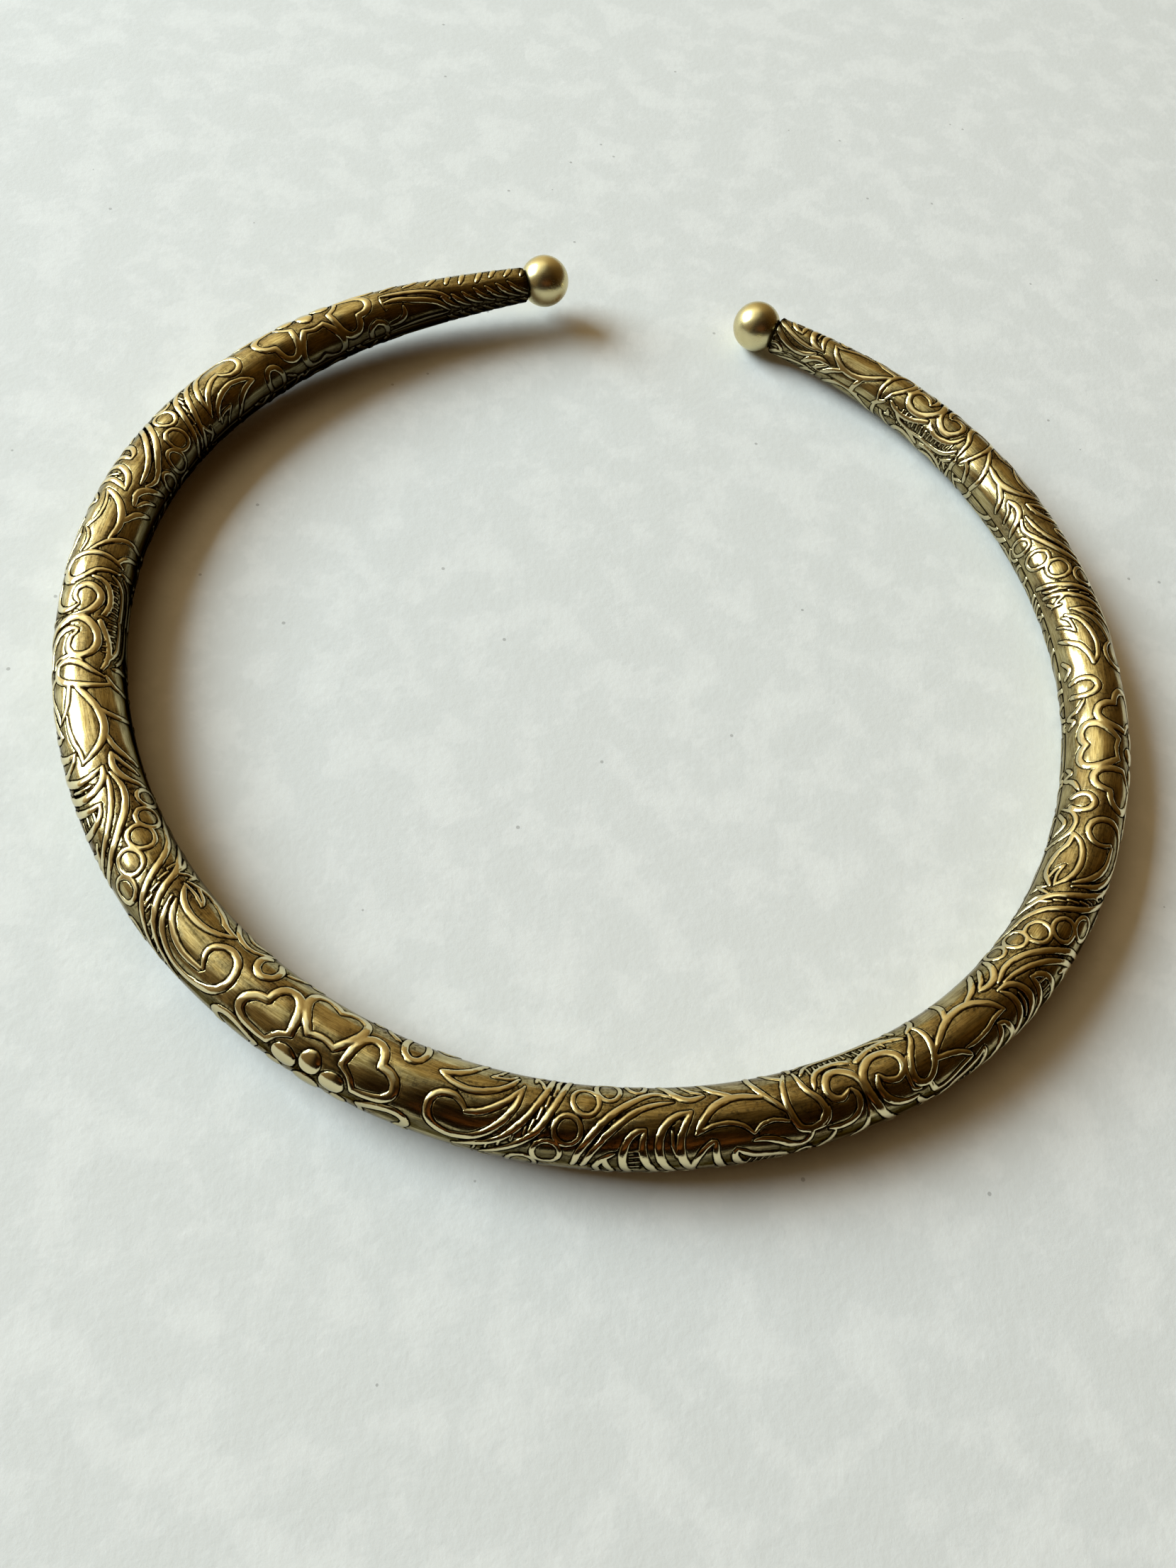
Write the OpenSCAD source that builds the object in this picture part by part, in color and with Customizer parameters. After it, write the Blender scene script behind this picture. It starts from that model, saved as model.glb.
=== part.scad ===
// Open neck ring lying on a table: a hollow embossed tube bent round the neck,
// thick at the front and slim at its two ends, with a smooth ball on each end.
// The opening faces +Y and the front of the ring faces -Y. All lengths in mm.

/* [Tube] */
// Scale of the whole bend, 1 gives an inner width of 121 mm
bend_scale = 1; // [0.94:0.01:1.1]
// Length of each arm, measured along the tube from the front, mm
arm_length = 181; // [176:0.5:184]
// Thickness of the tube wall, mm
wall = 0.65; // [0.5:0.05:0.8]
// Height of the raised ornament above the plain tube, mm
relief = 0.18; // [0.12:0.02:0.3]
// Height that the left end is bent up off the table, mm
left_rise = 2.8; // [0.8:0.1:4]

/* [Ball ends] */
// Radius of each ball, mm
ball_r = 3.65; // [3.5:0.05:4]
// Length of the peg that holds the ball inside the tube, mm
peg_length = 4; // [2:0.5:5]
// Gap that the ball and its peg keep from the tube, mm
fit_gap = 0.1; // [0.08:0.01:0.15]

/* [Hidden] */
// Turn that each row of the bend table stands for, degrees
turn = 30;
// Bend radii from the front towards each end: left arm, right arm
bends = [
    [67, 70.5],
    [62, 58],
    [65, 65],
    [52.5, 62],
    [68.5, 63.5],
    [140, 84]
];
// Radius of the plain tube at even steps from the front to an end
taper = [4.28, 4.18, 4.13, 4.03, 3.73, 2.73];
// Share of an arm that lies flat before its end bends up
flat_share = 0.55;
// Height that the right ball is held above the table
ball_lift = 0.05;
// The right end rises just so far that its ball rests on the table
right_rise = ball_r - taper[len(taper) - 1] - relief + ball_lift;
// Shift that puts the middle of the ring's box on the origin
shift = [-0.225, -61.895, 0] * bend_scale;

// Facets of the tube and of its bore
tube_sides = 12;
bore_sides = 8;
tube_steps = 52;
// Facets of a ball and of its peg
ball_facets = 64;
peg_facets = 48;
// Length over which the climb of the tube is taken
climb_step = 1;
// Sides of a bud, the share of its width that its flat top has, and the share
// of the relief that the top rises to
bud_sides = 5;
bud_top = 0.6;
bud_rise = 0.85;
// Radius of the bud in the middle of a flower
heart_r = 1.3;
// Depth that each ridge and bud is sunk below the plain tube
sunk = 0.3;
// Width of a ridge of the ornament, and its share that is left at a ridge's ends
ridge_w = 0.85;
ridge_end = 0.6;
// Clear strip that the ornament leaves at the cut ends and at the seam
end_strip = 1;
seam_strip = 0.3;
// Length that the bore runs out past each cut end
bore_extra = 0.5;

// The ornament lies in panel units: along the tube from the middle of a flower,
// and up from the outermost line of the tube.
// Places of the heart flowers along the tube
flowers = [-147.85, -27.4, 93.05];
// Half panels from each flower to the pair of scrolls beside it: place of the
// flower, stretch and sense
panels = [
    [-147.85, -1.025],
    [-147.85, 0.975],
    [-27.4, -1.025],
    [-27.4, 0.975],
    [93.05, -1.025],
    [93.05, 0.975],
    [213.5, -1.025]
];
// Petals and buds of a flower that point along the tube, slantwise and across:
// reach of the petal, half its width, middle of the bud, half length, half width
petals = [
    [11.0, 2.4, 3.6, 0.8, 0.8],
    [10.1, 3.0, 3.5, 1.3, 1.1],
    [10.7, 3.4, 3.3, 1.4, 1.0]
];
// Outline of a petal, in shares of its reach and of half its width
petal_outline = [[0.53, -0.4], [0.8, -1], [1, -0.62], [0.93, 0], [1, 0.62], [0.8, 1], [0.53, 0.4]];
// Bowed ridges: start along, start up, end along, end up, bow, steps, and
// 2 for both halves of the tube or 1 for the upper one
arcs = [
    [15.0, 9.3, 22.6, 9.3, -1.9, 2, 1],
    [15.0, 9.5, 22.8, 10.9, 0.5, 2, 1],
    [15.4, 2.2, 22.4, 7.6, -1.3, 2, 1],
    [18.2, 1.2, 27.4, 11.8, -1.6, 2, 2],
    [20.4, 1.2, 29.2, 11.6, -1.4, 2, 1],
    [28.4, 1.5, 38.9, 8.5, 2.5, 2, 1],
    [35.4, 6.0, 37.2, 1.6, -0.5, 1, 1],
    [40.9, 5.4, 51.0, 6.2, 2.8, 3, 1],
    [41.0, 5.4, 50.6, 5.2, 0, 1, 1],
    [58.8, 6.6, 55.0, 2.9, 1.8, 2, 1],
    [59.5, 7.6, 57.8, 0.6, 1.3, 2, 2]
];
// Curled ridges: centre along and up, radius along and up, start angle, sweep,
// shrink of the radius by the end, steps, and 2 or 1 as above
curls = [
    [9.2, 9.0, 1.45, 1.5, 120, 300, 0, 5, 1],
    [13.6, 4.9, 2.1, 2.7, -55, -290, 0.3, 5, 2],
    [53.0, 5.8, 1.7, 1.9, 180, 180, 0, 3, 1],
    [57.7, 7.3, 1.9, 1.5, 15, 270, 0.3, 4, 2]
];
// Pebbles beside the rails: middle along and up, radius
pebbles = [
    [25.6, 2.7, 1.4],
    [27.7, 5.4, 1.4],
    [29.8, 8.0, 1.4],
    [32.1, 10.1, 1.3]
];

// Length of one arc of an arm, arm 0 is the left one and arm 1 the right one
function arc_length(arm, k) = bends[k][arm] * bend_scale * turn * PI / 180;
function run_to(arm, k) = k == 0 ? 0 : run_to(arm, k - 1) + arc_length(arm, k - 1);
// Chord of a bend of radius r between two headings
function swing(r, from, to) = r * [sin(to) - sin(from), cos(from) - cos(to)];
function start_of(arm, k) = k == 0 ? [0, 0] : start_of(arm, k - 1)
    + swing(bends[k - 1][arm] * bend_scale, turn * (k - 1), turn * k);
runs = [for (arm = [0, 1]) [for (k = [0:len(bends)]) run_to(arm, k)]];
starts = [for (arm = [0, 1]) [for (k = [0:len(bends)]) start_of(arm, k)]];
function arc_at(arm, run, k = 0) =
    (k >= len(bends) - 1 || run < runs[arm][k + 1]) ? k : arc_at(arm, run, k + 1);

// Middle of the tube seen from above, and its heading, s along the tube from
// the front, to the right positive
function plan_at(s) = let (
    arm = s < 0 ? 0 : 1,
    side = s < 0 ? -1 : 1,
    k = arc_at(arm, abs(s)),
    r = bends[k][arm] * bend_scale,
    heading = turn * k + (abs(s) - runs[arm][k]) / r * 180 / PI,
    at = starts[arm][k] + swing(r, turn * k, heading)
) [side * at[0], at[1], side * heading];

// Radius of the plain tube, a smooth curve through the taper table
function tube_r(s) = let (
    last = len(taper) - 1,
    at = min(abs(s) / arm_length, 1) * last,
    k = min(floor(at), last - 1),
    t = at - k,
    before = k == 0 ? taper[1] : taper[k - 1],
    after = k == last - 1 ? 2 * taper[last] - taper[last - 1] : taper[k + 2],
    slope0 = (taper[k + 1] - before) / 2,
    slope1 = (after - taper[k]) / 2
) taper[k] * (1 + 2 * t) * (1 - t) * (1 - t) + slope0 * t * (1 - t) * (1 - t)
    + taper[k + 1] * t * t * (3 - 2 * t) - slope1 * t * t * (1 - t);

function rise_at(s) = let (
    share = max(0, (abs(s) / arm_length - flat_share) / (1 - flat_share))
) (s < 0 ? left_rise : right_rise) * share * share;
function mid_z(s) = tube_r(s) + relief + rise_at(s);

// Middle, direction, upward and outward sense of the tube at s
function frame_at(s) = let (
    p = plan_at(s),
    climb = (mid_z(s + climb_step / 2) - mid_z(s - climb_step / 2)) / climb_step,
    along = [cos(p[2]), sin(p[2]), climb] / norm([1, climb]),
    up = ([0, 0, 1] - along[2] * along) / norm([0, 0, 1] - along[2] * along)
) [[p[0], p[1], mid_z(s)] + shift, along, up, cross(along, up)];

// Point of the tube at s, phi degrees from the top towards the outside
function skin(s, phi, lift) = let (f = frame_at(s))
    f[0] + (tube_r(s) + lift) * (cos(phi) * f[2] + sin(phi) * f[3]);

// Corners of a many-sided tube stand out so that its mean radius stays true
function corner(sides) = 2 / (1 + cos(180 / sides));

// Place on the tube of a panel point, fold -1 turns the panel over downwards:
// distance along the tube and distance up from its outermost line
function place(panel, fold, p) = [panel[0] + panel[1] * p[0], fold * p[1]];
function on_tube(q, lift) = skin(q[0], 90 - q[1] / tube_r(q[0]) * 180 / PI, lift);
function inside(q) = abs(q[0]) < arm_length - end_strip
    && abs(q[1]) < PI * tube_r(q[0]) - seam_strip;

// Points along a bowed ridge, a curled one and the outline of a petal
function arc_path(a) = [for (i = [0:a[5]]) let (
    t = i / a[5],
    run = [a[2] - a[0], a[3] - a[1]],
    across = [-run[1], run[0]] / norm(run)
) [a[0], a[1]] + run * t + across * a[4] * 4 * t * (1 - t)];
function curl_path(c) = [for (i = [0:c[7]]) let (
    t = i / c[7],
    grow = 1 - c[6] * t,
    angle = c[4] + c[5] * t
) [c[0] + c[2] * grow * cos(angle), c[1] + c[3] * grow * sin(angle)]];
function turned(p, angle) =
    [p[0] * cos(angle) - p[1] * sin(angle), p[0] * sin(angle) + p[1] * cos(angle)];

// Skin of a bent tube, thinner than the outer skin by inset
module bent_tube(sides, inset, extra) {
    reach = arm_length + extra;
    points = [for (i = [0:tube_steps]) for (j = [0:sides - 1]) let (
        s = -reach + 2 * reach * i / tube_steps,
        r = tube_r(s) - inset
    ) skin(s, 360 * j / sides, r * corner(sides) - r - inset)];
    walls = [for (i = [0:tube_steps - 1]) for (j = [0:sides - 1]) let (
        a = i * sides + j,
        b = i * sides + (j + 1) % sides
    ) [[a, b + sides, b], [a, a + sides, b + sides]]];
    polyhedron(
        points,
        concat(
            [for (w = walls) w[0]],
            [for (w = walls) w[1]],
            [[for (j = [0:sides - 1]) j]],
            [[for (j = [sides - 1:-1:0]) tube_steps * sides + j]]
        )
    );
}

// One ridge of triangular section along a path of places on the tube
module ridge(path) {
    kept = [for (q = path) if (inside(q)) q];
    last = len(kept) - 1;
    if (last >= 1) {
        sections = [for (i = [0:last]) let (
            run = kept[min(i + 1, last)] - kept[max(i - 1, 0)],
            slim = (i == 0 || i == last) ? ridge_end : 1,
            side = [-run[1], run[0]] / norm(run) * ridge_w / 2 * slim
        ) [
            on_tube(kept[i] + side, -sunk),
            on_tube(kept[i], relief),
            on_tube(kept[i] - side, -sunk)
        ]];
        polyhedron(
            [for (section = sections) for (p = section) p],
            concat(
                [for (i = [0:last - 1]) for (j = [0:2]) let (a = 3 * i + j, b = 3 * i + (j + 1) % 3)
                    [a, a + 3, b + 3]],
                [for (i = [0:last - 1]) for (j = [0:2]) let (a = 3 * i + j, b = 3 * i + (j + 1) % 3)
                    [a, b + 3, b]],
                [[0, 1, 2], [3 * last + 2, 3 * last + 1, 3 * last]]
            )
        );
    }
}

// One domed bud, its long half and wide half, its long side leaning by lean
module bud(q, long, wide, lean) {
    corners = [for (level = [[1, -sunk], [bud_top, relief * bud_rise]]) for (j = [0:bud_sides - 1])
        on_tube(
            q + turned(level[0] * [long * cos(j * 360 / bud_sides), wide * sin(j * 360 / bud_sides)], lean),
            level[1]
        )];
    hull() polyhedron(
        corners,
        [for (j = [0:bud_sides - 1]) [j, (j + 1) % bud_sides, bud_sides + j]]
    );
}

module flower(s) {
    bud([s, 0], heart_r, heart_r, 0);
    for (k = [0:7]) {
        kind = petals[[0, 1, 2, 1][k % 4]];
        ridge([for (o = petal_outline) [s, 0] + turned([o[0] * kind[0], o[1] * kind[1]], 45 * k)]);
        bud([s, 0] + turned([kind[2], 0], 45 * k), kind[3], kind[4], 45 * k);
    }
}

module half_panel(panel, fold) {
    for (a = arcs) if (fold > 0 || a[6] == 2)
        ridge([for (p = arc_path(a)) place(panel, fold, p)]);
    for (c = curls) if (fold > 0 || c[8] == 2)
        ridge([for (p = curl_path(c)) place(panel, fold, p)]);
    for (b = pebbles) if (fold > 0) {
        q = place(panel, fold, b);
        if (inside(q)) bud(q, b[2], b[2], 0);
    }
}

// The embossed tube, hollow from end to end
module collar_tube() {
    color([0.72, 0.58, 0.32]) difference() {
        union() {
            bent_tube(tube_sides, 0, 0);
            for (s = flowers) flower(s);
            for (panel = panels) for (fold = [1, -1]) half_panel(panel, fold);
        }
        bent_tube(bore_sides, wall, bore_extra);
    }
}

// A ball with the peg that holds it in the end of the tube
module ball_end(side) {
    f = frame_at(side * arm_length);
    out = side * f[1];
    bore_r = (tube_r(arm_length) - wall) * corner(bore_sides) * cos(180 / bore_sides);
    reach = sqrt(pow(ball_r + fit_gap, 2) - bore_r * bore_r);
    translate(f[0]) rotate([0, acos(out[2]), atan2(out[1], out[0])]) {
        translate([0, 0, reach]) sphere(r = ball_r, $fn = ball_facets);
        translate([0, 0, -peg_length])
            cylinder(r = bore_r - fit_gap, h = peg_length + reach, $fn = peg_facets);
    }
}

module left_ball() {
    color([0.8, 0.66, 0.38]) ball_end(-1);
}

module right_ball() {
    color([0.8, 0.66, 0.38]) ball_end(1);
}

collar_tube();
left_ball();
right_ball();
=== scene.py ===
import math
from functools import partial
import bpy
import numpy as np
from mathutils import Matrix, Vector, kdtree


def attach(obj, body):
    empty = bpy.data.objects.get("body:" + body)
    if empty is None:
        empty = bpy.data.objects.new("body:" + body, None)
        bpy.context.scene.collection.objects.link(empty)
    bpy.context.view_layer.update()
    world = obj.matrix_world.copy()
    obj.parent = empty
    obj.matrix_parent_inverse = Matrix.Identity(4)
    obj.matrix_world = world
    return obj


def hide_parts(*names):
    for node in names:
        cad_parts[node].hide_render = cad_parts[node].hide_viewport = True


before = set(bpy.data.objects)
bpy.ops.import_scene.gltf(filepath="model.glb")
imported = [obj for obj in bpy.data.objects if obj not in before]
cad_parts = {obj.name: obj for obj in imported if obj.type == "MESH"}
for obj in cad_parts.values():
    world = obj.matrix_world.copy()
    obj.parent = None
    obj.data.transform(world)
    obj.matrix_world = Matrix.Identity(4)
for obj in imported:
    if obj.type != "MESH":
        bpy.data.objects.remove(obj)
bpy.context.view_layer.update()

# lengths of the ring are in millimetres, as in the source of the part
mm = 0.001

ring = {
    "turn": 30.0,  # degrees of heading for each bend radius
    "bendsLeft": [67, 62, 65, 52.5, 68.5, 140],  # from the middle of the front to the end
    "bendsRight": [70.5, 58, 65, 62, 63.5, 84],
    "armLength": 181.0,
    "taper": [4.28, 4.18, 4.13, 4.03, 3.73, 2.73],  # radius at even steps along an arm
    "relief": 0.18,
    "wall": 0.65,
    "boreSides": 8,
    "leftRise": 2.8,
    "rightRise": 0.79,
    "flatShare": 0.55,  # how much of an arm lies flat on the table
    "shift": (-0.225, -61.895),
    "ballR": 3.65,
    "fitGap": 0.1,
    "pegLength": 4.0,
}


def armTable(radii):
    rows = []
    x, y, run = 0.0, 0.0, 0.0
    for k, r in enumerate(radii):
        a0 = math.radians(ring["turn"] * k)
        a1 = math.radians(ring["turn"] * (k + 1))
        rows.append((run, x, y, r, a0))
        x += r * (math.sin(a1) - math.sin(a0))
        y += r * (math.cos(a0) - math.cos(a1))
        run += r * (a1 - a0)
    return np.array(rows)


armLeft = armTable(ring["bendsLeft"])
armRight = armTable(ring["bendsRight"])


# x, y and heading of the middle of the tube
def planAt(s):
    run = np.abs(s)
    out = []
    for table in (armLeft, armRight):
        k = np.clip(np.searchsorted(table[:, 0], run, side="right") - 1, 0, len(table) - 1)
        start, x0, y0, r, a0 = np.moveaxis(table[k], -1, 0)
        a = a0 + (run - start) / r
        out.append((x0 + r * (np.sin(a) - np.sin(a0)), y0 + r * (np.cos(a0) - np.cos(a)), a))
    left = s < 0
    x = np.where(left, -out[0][0], out[1][0])
    y = np.where(left, out[0][1], out[1][1])
    heading = np.where(left, -out[0][2], out[1][2])
    return x, y, heading


def tubeR(s):
    taper = ring["taper"]
    taper = [taper[1]] + taper + [2 * taper[-1] - taper[-2]]
    t = np.minimum(np.abs(s) / ring["armLength"], 1) * (len(ring["taper"]) - 1)
    k = np.minimum(t.astype(int), len(ring["taper"]) - 2)
    t = t - k
    a, b, c, d = (np.take(taper, k + i) for i in range(4))
    return (b * (1 + 2 * t) * (1 - t) ** 2 + (c - a) / 2 * t * (1 - t) ** 2
            + c * t * t * (3 - 2 * t) - (d - b) / 2 * t * t * (1 - t))


def midZ(s):
    share = np.maximum(0, (np.abs(s) / ring["armLength"] - ring["flatShare"]) / (1 - ring["flatShare"]))
    rise = np.where(s < 0, ring["leftRise"], ring["rightRise"]) * share ** 2
    return tubeR(s) + ring["relief"] + rise


# middle, along, up and outward vectors of the tube
def frameAt(s):
    s = np.asarray(s, float)
    x, y, heading = planAt(s)
    climb = midZ(s + 0.5) - midZ(s - 0.5)
    along = np.stack([np.cos(heading), np.sin(heading), climb], -1)
    along /= np.linalg.norm(along, axis=-1, keepdims=True)
    up = np.array([0, 0, 1.0]) - along[..., 2:] * along
    up /= np.linalg.norm(up, axis=-1, keepdims=True)
    middle = np.stack([x + ring["shift"][0], y + ring["shift"][1], midZ(s)], -1)
    return middle, along, up, np.cross(along, up)


# the ornament is drawn once for half a repeat and turned over for the rest:
# u runs along the tube from the middle of a flower to the pair of scrolls,
# v up from the outermost line of the tube
panels = [  # flower at, stretch, length, variant of the drawing
    (-147.84, -1.025, 60.2, "b"),
    (-147.84, 0.975, 60.2, "a"),
    (-27.4, -1.025, 60.2, "b"),
    (-27.4, 0.975, 60.2, "a"),
    (93.04, -1.025, 60.2, "b"),
    (93.04, 0.975, 60.2, "a"),
    (213.48, -1.025, 60.2, "b"),
    (-181.9, 1.0, 22.8, "c"),
]
# upper half of the outline of a petal that points along u
petal = [(5.5, 1.45), (7.0, 2.55), (8.3, 3.15), (9.5, 3.0), (10.15, 2.05), (10.0, 0.9), (9.35, 0.0)]
petals = [  # direction, reach and width of the heart outline
    (0, 1.09, 0.76),
    (43, 1.0, 1.0),
    (90, 1.06, 1.1),
]
buds = [  # middle, half length, half width, direction, height
    (0, 0, 1.5, 1.5, 0, 0.24),
    (0, 3.25, 1.5, 1.2, 90, 0.22),
    (2.75, 2.25, 1.45, 1.35, 40, 0.2),
    (3.75, 0, 0.95, 0.95, 0, 0.18),
]
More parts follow.
